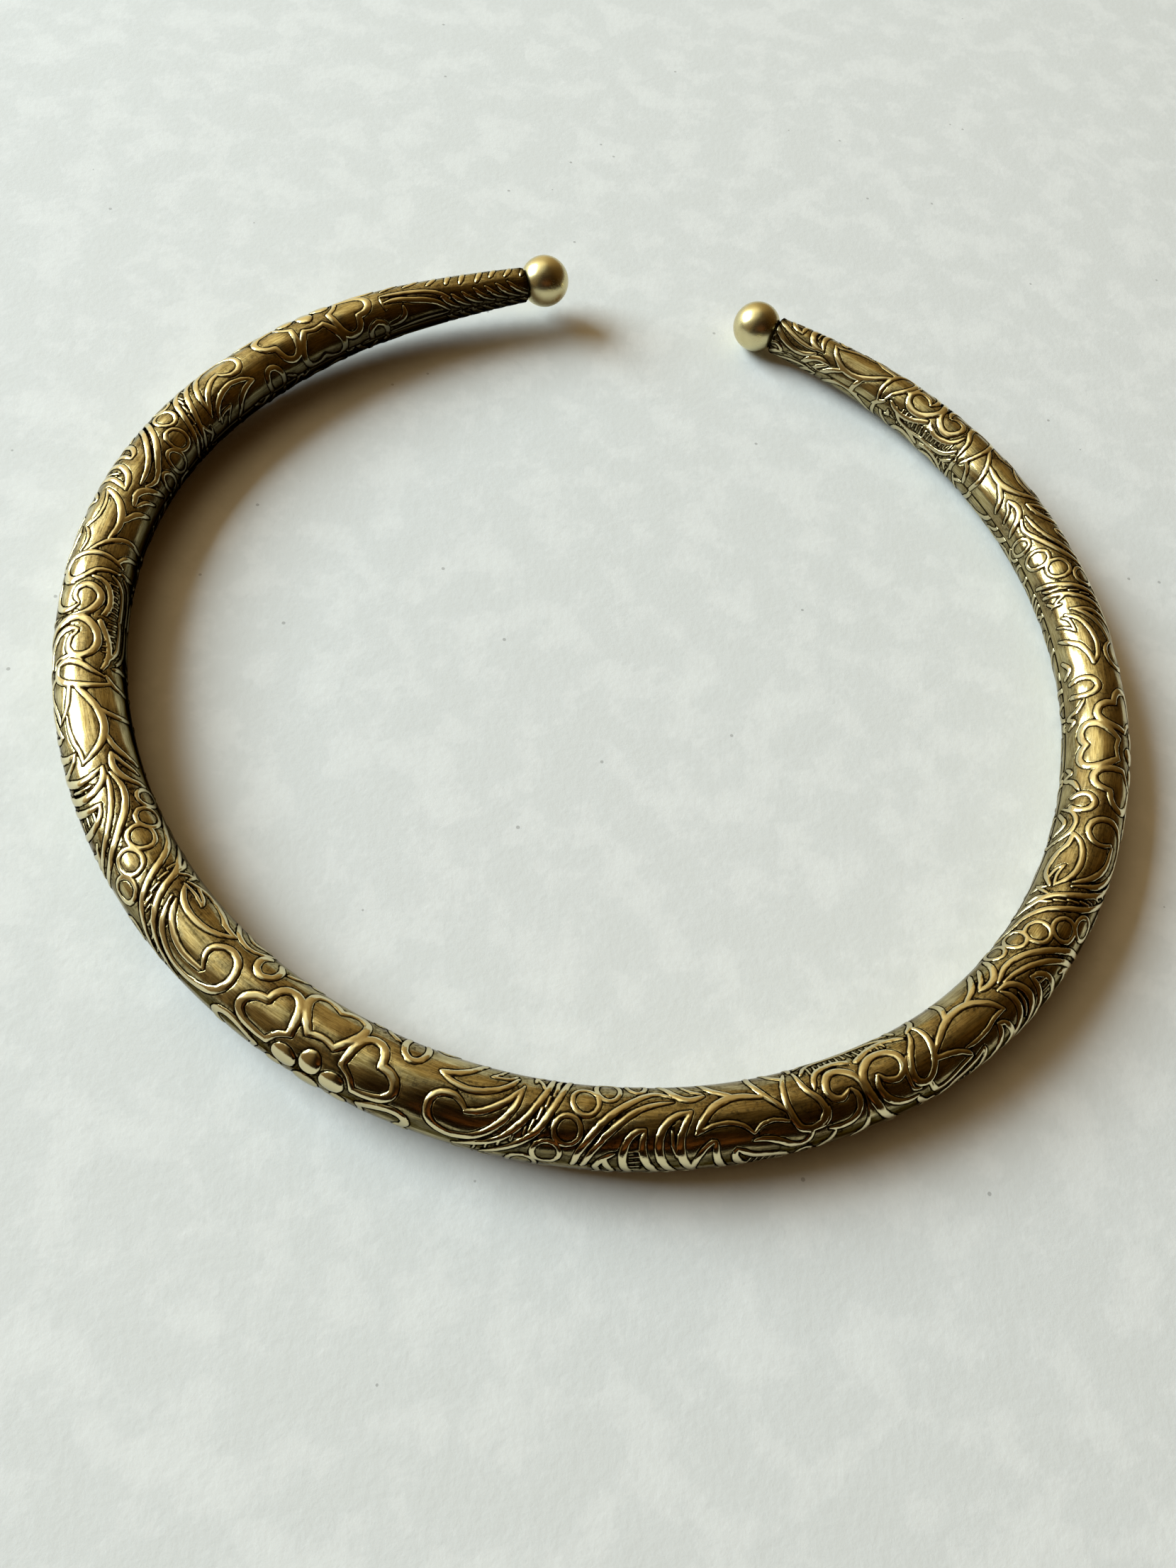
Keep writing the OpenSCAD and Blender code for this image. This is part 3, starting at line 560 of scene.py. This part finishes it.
def newObject(name, verts, faces):
    mesh = bpy.data.meshes.new(name)
    mesh.vertices.add(len(verts))
    mesh.vertices.foreach_set("co", np.ascontiguousarray(verts, dtype=np.float32).ravel())
    mesh.loops.add(faces.size)
    mesh.loops.foreach_set("vertex_index", np.ascontiguousarray(faces, dtype=np.int32).ravel())
    mesh.polygons.add(len(faces))
    mesh.polygons.foreach_set("loop_start", np.arange(0, faces.size, faces.shape[1], dtype=np.int32))
    mesh.update(calc_edges=True)
    mesh.validate()
    obj = bpy.data.objects.new(name, mesh)
    bpy.context.scene.collection.objects.link(obj)
    return obj


def pick(obj):
    bpy.ops.object.select_all(action="DESELECT")
    obj.select_set(True)
    bpy.context.view_layer.objects.active = obj


def applyModifier(obj, kind, **settings):
    pick(obj)
    bpy.ops.object.modifier_add(type=kind)
    modifier = obj.modifiers[-1]
    for key, value in settings.items():
        setattr(modifier, key, value)
    bpy.ops.object.modifier_apply(modifier=modifier.name)


# for each vertex of the object the number of the nearest of verts
def nearestOf(obj, verts):
    tree = kdtree.KDTree(len(verts))
    for k, co in enumerate(verts.tolist()):
        tree.insert(co, k)
    tree.balance()
    co = np.empty(len(obj.data.vertices) * 3, np.float32)
    obj.data.vertices.foreach_get("co", co)
    return np.array([tree.find(p)[1] for p in co.reshape(-1, 3).tolist()])


def addLayer(obj, name, kind, field, values):
    layer = obj.data.attributes.new(name, kind, "POINT")
    layer.data.foreach_set(field, values.astype(np.float32).ravel())


# middle of the tube and the unit vectors from it to the angles a round it
def spokes(s, a):
    middle, along, up, out = frameAt(s)
    return middle, np.cos(a)[..., None] * up + np.sin(a)[..., None] * out


def buildTube():
    s, phi, maps = tubeSurface()
    a = np.radians(phi)
    r = tubeR(s)
    end = ring["armLength"] - np.abs(s)
    lip = np.where(end < tube["endRound"], tube["endRound"] - np.sqrt(np.clip(
        tube["endRound"] ** 2 - (tube["endRound"] - end) ** 2, 0, None)), 0)
    slim = np.clip(1 - end / tube["endRun"], 0, 1) ** 1.5 * np.where(s < 0, *tube["endLoss"])
    radius = r + maps["height"] - lip - slim
    middle, ray = spokes(s, a)
    skin = middle + radius[..., None] * ray
    # the bore runs back from the right end to the left one, in longer steps
    sBore = np.linspace(ring["armLength"], -ring["armLength"], tube["boreSteps"])[:, None]
    middleBore, rayBore = spokes(sBore, a)
    bore = middleBore + (tubeR(sBore) - ring["wall"])[..., None] * rayBore
    verts = np.concatenate([skin, bore]).reshape(-1, 3)
    rows, cols = len(skin) + len(bore), phi.size
    i, j = np.meshgrid(np.arange(rows), np.arange(cols), indexing="ij")
    i2, j2 = (i + 1) % rows, (j + 1) % cols
    faces = np.stack([i * cols + j, i2 * cols + j, i2 * cols + j2, i * cols + j2], -1).reshape(-1, 4)
    obj = newObject("collarTube", verts * mm, faces)
    # the first face has to look away from the middle of the tube
    quad = verts[faces[0]]
    if np.dot(np.cross(quad[1] - quad[0], quad[2] - quad[0]), ray[0, 0]) < 0:
        obj.data.flip_normals()
    applyModifier(obj, "DECIMATE", ratio=tube["triangles"] / (2 * len(faces)),
                  use_collapse_triangulate=True)
    # the maps for the finish, and the tube's places as if it were straight
    nearest = nearestOf(obj, verts * mm)
    for name, inBore in (("foot", 1.0), ("crowd", 0.0)):
        values = np.concatenate([maps[name], np.full((len(bore), cols), inBore)])
        addLayer(obj, name, "FLOAT", "value", values.ravel()[nearest])
    straight = np.concatenate([
        np.stack(np.broadcast_arrays(run, radius * np.cos(a), radius * np.sin(a)), -1)
        for run, radius in ((s, r), (sBore, tube["boreSpan"]))])
    addLayer(obj, "straight", "FLOAT_VECTOR", "vector", straight.reshape(-1, 3)[nearest])
    # the finished mesh keeps the normals of the fine grid
    slope = np.cross(np.gradient(skin, axis=0), (np.roll(skin, -1, 1) - np.roll(skin, 1, 1)))
    slope /= np.linalg.norm(slope, axis=-1, keepdims=True)
    slope *= np.sign((slope * ray).sum(-1, keepdims=True))
    pick(obj)
    bpy.ops.object.shade_smooth()
    normals = np.concatenate([slope, -np.broadcast_to(rayBore, bore.shape)]).reshape(-1, 3)[nearest]
    obj.data.normals_split_custom_set_from_vertices(normals.astype(np.float32).tolist())
    print("collarTube", len(obj.data.polygons), "triangles")
    return obj


ball = {
    "turns": 96,  # faces round the ball
    "steps": 64,
    "chamfer": 0.15,  # at the hidden end of the peg
    "smoothUnder": 35,  # degrees
}


# ball with its peg, turned about the axis of the tube's end
def buildBall(name, side):
    end = np.array([side * ring["armLength"]])
    middle, along, up, out = (x[0] for x in frameAt(end))
    axis = along * side
    third = np.cross(axis, up)
    # the bore of the solid has flat sides, and the peg fits between them
    flat = math.cos(math.pi / ring["boreSides"])
    boreR = tubeR(end)[0] - ring["wall"]
    boreR *= 2 / (1 + flat) * flat
    pegR = boreR - ring["fitGap"]
    pegEnd = -ring["pegLength"]
    ballR = ring["ballR"]
    # from the tube's end to the middle of the ball
    reach = math.sqrt((ballR + ring["fitGap"]) ** 2 - boreR ** 2)
    meet = math.acos(pegR / ballR)  # angle where the ball meets the peg
    profile = [(pegEnd, 0.0), (pegEnd, pegR - ball["chamfer"]), (pegEnd + ball["chamfer"], pegR)]
    profile += [(t, pegR) for t in np.linspace(pegEnd + 1, reach - ballR * math.sin(meet), 5)]
    profile += [(reach - ballR * math.sin(t), ballR * math.cos(t))
                for t in np.linspace(meet, -math.pi / 2, ball["steps"])[1:]]
    turns = ball["turns"]
    angle = np.linspace(0, 2 * math.pi, turns, endpoint=False)
    verts, faces = [middle + axis * profile[0][0]], []
    for run, radius in profile[1:-1]:
        verts.extend(middle + axis * run + radius * (np.cos(angle)[:, None] * up
                                                     + np.sin(angle)[:, None] * third))
    verts.append(middle + axis * profile[-1][0])
    last = 1 + (len(profile) - 3) * turns
    for k in range(turns):
        k2 = (k + 1) % turns
        faces.append((0, 1 + k2, 1 + k))
        for row in range(1, last, turns):
            faces.append((row + k, row + k2, row + turns + k2, row + turns + k))
        faces.append((last + k, last + k2, len(verts) - 1))
    mesh = bpy.data.meshes.new(name)
    mesh.from_pydata([tuple(v * mm) for v in verts], [], faces)
    mesh.update()
    obj = bpy.data.objects.new(name, mesh)
    bpy.context.scene.collection.objects.link(obj)
    pick(obj)
    bpy.ops.object.mode_set(mode="EDIT")
    bpy.ops.mesh.select_all(action="SELECT")
    bpy.ops.mesh.normals_make_consistent(inside=False)
    bpy.ops.object.mode_set(mode="OBJECT")
    bpy.ops.object.shade_smooth_by_angle(angle=math.radians(ball["smoothUnder"]))
    print(name, len(obj.data.polygons), "faces")
    return obj


def material(name):
    m = bpy.data.materials.new(name)
    m.use_nodes = True
    return m, m.node_tree, m.node_tree.nodes["Principled BSDF"]


# new node: each setting is an input of that name or else a property
def node(tree, kind, **settings):
    n = tree.nodes.new(kind)
    for key, value in settings.items():
        if key in n.inputs:
            n.inputs[key].default_value = value
        else:
            setattr(n, key, value)
    return n


# links an output to a socket, or sets a plain value on it
def feed(tree, value, socket):
    if hasattr(value, "links"):
        tree.links.new(value, socket)
    else:
        socket.default_value = value


def mathNode(tree, operation, a, b=0.0, clamp=False):
    n = node(tree, "ShaderNodeMath", operation=operation, use_clamp=clamp)
    feed(tree, a, n.inputs[0])
    feed(tree, b, n.inputs[1])
    return n.outputs[0]


# smooth step from low to high
def fadeNode(tree, value, low, high):
    n = node(tree, "ShaderNodeMapRange", interpolation_type="SMOOTHSTEP")
    n.inputs["From Min"].default_value = low
    n.inputs["From Max"].default_value = high
    tree.links.new(value, n.inputs["Value"])
    return n.outputs["Result"]


def mixNode(tree, blend, factor, a, b):
    n = node(tree, "ShaderNodeMix", data_type="RGBA", blend_type=blend)
    for socket, value in ((0, factor), (6, a), (7, b)):
        feed(tree, value, n.inputs[socket])
    return n.outputs[2]


def rampNode(tree, source, stops):
    n = tree.nodes.new("ShaderNodeValToRGB")
    elements = n.color_ramp.elements
    for element, (at, color) in ((elements[0], stops[0]), (elements[1], stops[-1])):
        element.position = at
        element.color = color
    for at, color in stops[1:-1]:
        elements.new(at).color = color
    tree.links.new(source, n.inputs["Fac"])
    return n.outputs["Color"]


def noiseNode(tree, vector, scale, detail, rough, stretch=None):
    if stretch:
        mapping = node(tree, "ShaderNodeMapping", Scale=stretch)
        tree.links.new(vector, mapping.inputs["Vector"])
        vector = mapping.outputs["Vector"]
    n = node(tree, "ShaderNodeTexNoise", Scale=scale, Detail=detail, Roughness=rough)
    tree.links.new(vector, n.inputs["Vector"])
    return n.outputs["Fac"]


def addBump(tree, shader, height, strength, distance):
    n = node(tree, "ShaderNodeBump", Strength=strength, Distance=distance)
    tree.links.new(height, n.inputs["Height"])
    tree.links.new(n.outputs["Normal"], shader.inputs["Normal"])


finish = {
    "brass": (0.725, 0.62, 0.33, 1),
    "olive": (0.40, 0.31, 0.12, 1),
    "worn": (0.79, 0.70, 0.43, 1),
    "tarnish": (0.17, 0.09, 0.03, 1),
    # black of soot, also used for the painted shade on the sides of the tube
    "sootAndShade": (0.007, 0.0035, 0.001, 1),
    "metalSheen": (1, 1, 1, 1),
    # sheen at a low angle on soot and on the painted shade
    "sootAndShadeSheen": (0.05, 0.04, 0.03, 1),
    "lineAt": 0.07,  # millimetres from the foot of a ridge to its dark outline
    "lineHalf": 0.165,
    "crest": (0.03, -0.09),  # from the foot of a ridge to its rubbed top
    "inside": (0.7, 1.3),  # radians from the top where the painted shade on the inner side begins and is full
    # radians from the top where the painted shade on the outer side begins and is full
    "outside": (0.85, 1.45),
    "brim": (0.84, 1.26),  # a painted dark reflection runs as a band along the outer side of the front
    "brimSoft": 0.16,
    "front": (-75, -35),  # where the left arm turns into the front
    "joint": (1.6, 0.2),  # how near to its ends the tube grows black
    # noises: scale, detail, roughness and stretch
    "streaks": (1.8, 4, 0.65, (0.25, 3.0, 3.0)),
    "hair": (1.8, 3, 0.6, (0.4, 9, 9)),
    "patches": (0.25, 3, 0.55, (0.5, 1, 1)),
    "pits": (2.2, 5, 0.7),
    "rough": 0.09,
    "bump": 0.00006,
}


def embossedBrass():
    m, tree, shader = material("embossedBrass")
    calc, fade, mix = partial(mathNode, tree), partial(fadeNode, tree), partial(mixNode, tree)
    straight = node(tree, "ShaderNodeAttribute", attribute_name="straight").outputs["Vector"]
    foot = node(tree, "ShaderNodeAttribute", attribute_name="foot").outputs["Fac"]
    crowd = node(tree, "ShaderNodeAttribute", attribute_name="crowd").outputs["Fac"]
    streaks, hair, patches, pits = (noiseNode(tree, straight, *finish[name])
                                    for name in ("streaks", "hair", "patches", "pits"))
    # outline and top of the ridges from the distance to their foot, a little ragged
    ragged = calc("ADD", foot, calc("MULTIPLY", calc("SUBTRACT", pits, 0.5), 0.10))
    line = calc("ABSOLUTE", calc("SUBTRACT", ragged, finish["lineAt"]))
    line = calc("SUBTRACT", 1.0, fade(line, 0.02, finish["lineHalf"]))
    crest = fade(foot, *finish["crest"])
    low = calc("SUBTRACT", 1.0, crest)
    # base colour: brass turning olive and brown in patches, paler on the worn ridges
    color = rampNode(tree, streaks, [(0.36, finish["olive"]), (0.60, finish["brass"])])
    warm = calc("MULTIPLY", calc("SUBTRACT", patches, 0.46, True), 4.0, True)
    color = mix("MIX", calc("MULTIPLY", warm, 0.6), color, finish["tarnish"])
    worn = calc("MULTIPLY", crest, calc("SUBTRACT", 1.05, calc("MULTIPLY", streaks, 0.5)), True)
    color = mix("MIX", worn, color, finish["worn"])
    # painted shade: the lower sides of the tube are darkened where they mirror the shaded floor, most of
    # all inside the left arm
    axes = tree.nodes.new("ShaderNodeSeparateXYZ")
    tree.links.new(straight, axes.inputs["Vector"])
    outward = calc("ARCTAN2", axes.outputs["Z"], axes.outputs["Y"])
    front = fade(axes.outputs["X"], *finish["front"])
    inside = fade(calc("MULTIPLY", outward, -1.0), *finish["inside"])
    inside = calc("MULTIPLY", inside, calc("SUBTRACT", 0.88, calc("MULTIPLY", front, 0.6)))
    outside = fade(outward, *finish["outside"])
    outside = calc("MULTIPLY", outside, calc("ADD", 0.1, calc("MULTIPLY", front, 0.2)))
    # painted dark reflection: a black band along the outer side of the front, over the fields only
    brimFrom, brimTo = (fade(outward, at, at + finish["brimSoft"]) for at in finish["brim"])
    brim = calc("MULTIPLY", calc("SUBTRACT", brimFrom, brimTo, True), front)
    brim = calc("MULTIPLY", brim, calc("MULTIPLY", low, 0.75))
    outside = calc("MAXIMUM", outside, brim)
    # and black where the balls sit in its ends
    jointFrom, jointTo = (ring["armLength"] - run for run in finish["joint"])
    joint = fade(calc("ABSOLUTE", axes.outputs["X"]), jointFrom, jointTo)
    # the painted shade of the sides and the dark joints at the ends go into the colour
    side = calc("MAXIMUM", calc("MAXIMUM", inside, outside), calc("MULTIPLY", joint, 0.85))
    color = mix("MIX", side, color, finish["sootAndShade"])
    # darker beside the ridges and between crowded strokes, with soot in pits and in brushed lines
    blotch = fade(pits, 0.47, 0.62)
    brushed = fade(hair, 0.52, 0.70)
    film = calc("MULTIPLY", crowd, calc("ADD", 0.45, calc("MULTIPLY", blotch, 0.6)))
    film = calc("ADD", film, calc("MULTIPLY", brushed, 0.35))
    film = calc("ADD", film, calc("MULTIPLY", calc("MULTIPLY", blotch, warm), 0.25))
    film = calc("MULTIPLY", film, low, True)
    dark = calc("MAXIMUM", line, film)
    color = mix("MIX", dark, color, finish["sootAndShade"])
    tree.links.new(color, shader.inputs["Base Color"])
    shader.inputs["Metallic"].default_value = 1.0
    # soot and the painted shade have no sheen at a low angle, bare metal has
    sheen = mix("MIX", calc("MAXIMUM", side, dark), finish["metalSheen"], finish["sootAndShadeSheen"])
    tree.links.new(sheen, shader.inputs["Specular Tint"])
    rough = calc("ADD", finish["rough"], calc("MULTIPLY", hair, 0.10))
    rough = calc("SUBTRACT", rough, calc("MULTIPLY", worn, 0.04))
    rough = calc("ADD", rough, calc("MULTIPLY", dark, 0.1), True)
    tree.links.new(rough, shader.inputs["Roughness"])
    # crisp edges of the ridges, brushed streaks, pits and fine scratches
    relief = calc("ADD", calc("MULTIPLY", streaks, 0.5), calc("MULTIPLY", hair, 0.3))
    relief = calc("ADD", relief, calc("MULTIPLY", calc("MULTIPLY", pits, low), 0.5))
    relief = calc("ADD", calc("MULTIPLY", relief, 0.14), calc("MULTIPLY", crest, 0.22))
    relief = calc("SUBTRACT", relief, calc("MULTIPLY", line, 0.4))
    addBump(tree, shader, relief, 1.0, finish["bump"])
    return m


polish = {
    "dull": (0.56, 0.485, 0.26, 1),
    "bright": (0.70, 0.61, 0.34, 1),
    "rough": 0.21,
    "haze": (260, 3, 0.5),  # noise: scale, detail and roughness
    "scratch": (1.0, 3, 0.6, (300, 2600, 900)),  # and stretch
    "bump": 0.00003,
}


def polishedBrass():
    m, tree, shader = material("polishedBrass")
    calc = partial(mathNode, tree)
    place = node(tree, "ShaderNodeTexCoord").outputs["Object"]
    haze = noiseNode(tree, place, *polish["haze"])
    scratch = noiseNode(tree, place, *polish["scratch"])
    color = rampNode(tree, haze, [(0.3, polish["dull"]), (0.7, polish["bright"])])
    tree.links.new(color, shader.inputs["Base Color"])
    shader.inputs["Metallic"].default_value = 1.0
    rough = calc("ADD", polish["rough"], calc("MULTIPLY", haze, 0.08))
    rough = calc("ADD", rough, calc("MULTIPLY", scratch, 0.05))
    tree.links.new(rough, shader.inputs["Roughness"])
    addBump(tree, shader, scratch, 0.12, polish["bump"])
    return m


paper = {
    "size": 3.0,
    "tones": [(0.40, (0.686, 0.715, 0.728, 1)), (0.50, (0.696, 0.726, 0.742, 1)),
              (0.55, (0.728, 0.756, 0.772, 1)), (0.66, (0.752, 0.782, 0.797, 1))],
    "tint": (1.0, 0.985, 0.99, 1),
    # noises: scale, detail and roughness
    "cloud": (130, 6, 0.6),
    "tinted": (9, 2, 0.5),
    "grain": (900, 3, 0.6),
    "speck": (0.2, 0.2, 0.2, 1),
    "specks": 420.0,  # cells to a metre, with a speck in a few of them
    "speckSize": 0.10,
    "speckless": 0.965,  # share of the cells that have none
    "rough": 0.75,
    "bump": 0.0002,
}


def paperFloor():
    m, tree, shader = material("paperFloor")
    calc, mix = partial(mathNode, tree), partial(mixNode, tree)
    place = node(tree, "ShaderNodeTexCoord").outputs["Object"]
    # cloudy pale patches, and a few tiny dark specks
    color = rampNode(tree, noiseNode(tree, place, *paper["cloud"]), paper["tones"])
    color = mix("MULTIPLY", noiseNode(tree, place, *paper["tinted"]), color, paper["tint"])
    cells = node(tree, "ShaderNodeTexVoronoi", Scale=paper["specks"])
    tree.links.new(place, cells.inputs["Vector"])
    chance = tree.nodes.new("ShaderNodeSeparateColor")
    tree.links.new(cells.outputs["Color"], chance.inputs["Color"])
    rare = calc("MULTIPLY", calc("LESS_THAN", cells.outputs["Distance"], paper["speckSize"]),
                calc("GREATER_THAN", chance.outputs["Red"], paper["speckless"]))
    color = mix("MIX", calc("MULTIPLY", rare, 0.5), color, paper["speck"])
    tree.links.new(color, shader.inputs["Base Color"])
    shader.inputs["Roughness"].default_value = paper["rough"]
    addBump(tree, shader, noiseNode(tree, place, *paper["grain"]), 0.2, paper["bump"])
    return m


collarTube = buildTube()
collarTube.data.materials.append(embossedBrass())
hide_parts("collar_tube")
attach(collarTube, "root")

ballMaterial = polishedBrass()
for name, nodeName, side in (("ballLeft", "left_ball", -1), ("ballRight", "right_ball", 1)):
    piece = buildBall(name, side)
    piece.data.materials.append(ballMaterial)
    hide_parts(nodeName)
    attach(piece, "root")
print("ring finished")

bpy.ops.mesh.primitive_plane_add(size=paper["size"], location=(0, 0, 0))
floor = bpy.context.object
floor.name = "floor"
floor.data.materials.append(paperFloor())
print("floor laid")

window = {
    "toward": (-0.8240, 0.2519, 0.5075),
    "distance": 2.6,
    "width": 1.65,
    "height": 1.3,
    "power": 113,
    "color": (0.79, 0.95, 1.0),
}
lamp = bpy.data.lights.new("window", "AREA")
lamp.shape = "RECTANGLE"
lamp.size = window["width"]
lamp.size_y = window["height"]
lamp.energy = window["power"]
lamp.color = window["color"]
light = bpy.data.objects.new("window", lamp)
toward = Vector(window["toward"]).normalized()
light.location = toward * window["distance"]
light.rotation_euler = toward.to_track_quat("Z", "Y").to_euler()
bpy.context.scene.collection.objects.link(light)

room = {
    # bright walls beside the window, dark on the far side, by share of a turn from +Y over +X
    "walls": [
        (0.0, (0.54, 0.42, 0.22, 1)),
        (0.042, (0.39, 0.275, 0.122, 1)),
        (0.125, (0.14, 0.089, 0.032, 1)),
        (0.208, (0.085, 0.043, 0.009, 1)),
        (0.292, (0.038, 0.018, 0.003, 1)),
        (0.375, (0.018, 0.008, 0.001, 1)),
        (0.458, (0.007, 0.003, 0.001, 1)),
        (0.542, (0.010, 0.004, 0.001, 1)),
        (0.575, (0.025, 0.015, 0.006, 1)),
        (0.615, (0.18, 0.125, 0.056, 1)),
        (0.67, (0.23, 0.163, 0.081, 1)),
        (0.73, (0.52, 0.41, 0.24, 1)),
        (0.78, (1.06, 0.92, 0.64, 1)),
        (0.88, (1.06, 0.92, 0.64, 1)),
        (0.95, (0.95, 0.80, 0.47, 1)),
        (1.0, (0.54, 0.42, 0.22, 1)),
    ],
    "overhead": (0.84, 0.98),  # sine of the height above the floor from which it is dim
    "overheadColor": (0.080, 0.050, 0.017, 1),
    "glowToward": (-0.511, 0.260, 0.819),
    "glow": (0.78, 0.96),  # cosine of the angle where the glow ends and is full
    "glowColor": (0.62, 0.63, 0.51, 1),
    # warm wood by sine of the height, over the near side
    "wood": [
        (0.36, (0.0, 0.0, 0.0, 1)),
        (0.46, (0.18, 0.064, 0.016, 1)),
        (0.58, (0.07, 0.026, 0.007, 1)),
        (0.85, (0.010, 0.005, 0.002, 1)),
    ],
    "woodTurns": [(0.37, (0, 0, 0, 1)), (0.43, (1, 1, 1, 1)), (0.50, (1, 1, 1, 1)), (0.56, (0, 0, 0, 1))],
    "floorShare": (0.80, 0.63, 0.44, 1),
}


def lightRoom():
    world = bpy.data.worlds.new("room")
    bpy.context.scene.world = world
    world.use_nodes = True
    tree = world.node_tree
    calc, fade, mix = partial(mathNode, tree), partial(fadeNode, tree), partial(mixNode, tree)
    look = node(tree, "ShaderNodeTexCoord").outputs["Generated"]
    axes = tree.nodes.new("ShaderNodeSeparateXYZ")
    tree.links.new(look, axes.inputs["Vector"])
    heading = calc("ARCTAN2", axes.outputs["X"], axes.outputs["Y"])
    heading = calc("FRACT", calc("MULTIPLY", heading, 0.5 / math.pi))
    overhead = fade(axes.outputs["Z"], *room["overhead"])
    color = mix("MIX", overhead, rampNode(tree, heading, room["walls"]), room["overheadColor"])
    # a pale glow spreads upwards from the window
    aim = node(tree, "ShaderNodeVectorMath", operation="DOT_PRODUCT")
    aim.inputs[1].default_value = room["glowToward"]
    tree.links.new(look, aim.inputs[0])
    color = mix("ADD", fade(aim.outputs["Value"], *room["glow"]), color, room["glowColor"])
    wood = rampNode(tree, axes.outputs["Z"], room["wood"])
    color = mix("ADD", rampNode(tree, heading, room["woodTurns"]), color, wood)
    # metal mirrors the room as it is, the matt floor gathers a dimmer and warmer light from it
    rays = tree.nodes.new("ShaderNodeLightPath")
    matt = calc("SUBTRACT", 1.0, rays.outputs["Is Glossy Ray"])
    background = tree.nodes["Background"]
    tree.links.new(mix("MULTIPLY", matt, color, room["floorShare"]), background.inputs["Color"])
    background.inputs["Strength"].default_value = 1.0


lightRoom()
print("room lit")

view = {
    "place": (-13.17, -25.014, 130.783),  # from the front of the ring's middle line
    "right": (0.98777, 0.08233, 0.13242),
    "up": (-0.13361, 0.88468, 0.44664),
    "back": (-0.08038, -0.45887, 0.88486),
    "focal": 27.03,
    "sensor": 36.0,
}
cameraData = bpy.data.cameras.new("camera")
cameraData.sensor_fit = "VERTICAL"
cameraData.sensor_height = view["sensor"]
cameraData.lens = view["focal"]
cameraData.clip_start = 0.005
cameraData.clip_end = 10
camera = bpy.data.objects.new("camera", cameraData)
bpy.context.scene.collection.objects.link(camera)
turn = Matrix([view["right"], view["up"], view["back"]]).transposed().to_4x4()
place = Vector(view["place"]) + Vector((*ring["shift"], 0))
camera.matrix_world = Matrix.Translation(place * mm) @ turn
bpy.context.scene.camera = camera
bpy.context.scene.view_settings.view_transform = "Standard"
bpy.context.scene.view_settings.look = "None"
print("camera placed")
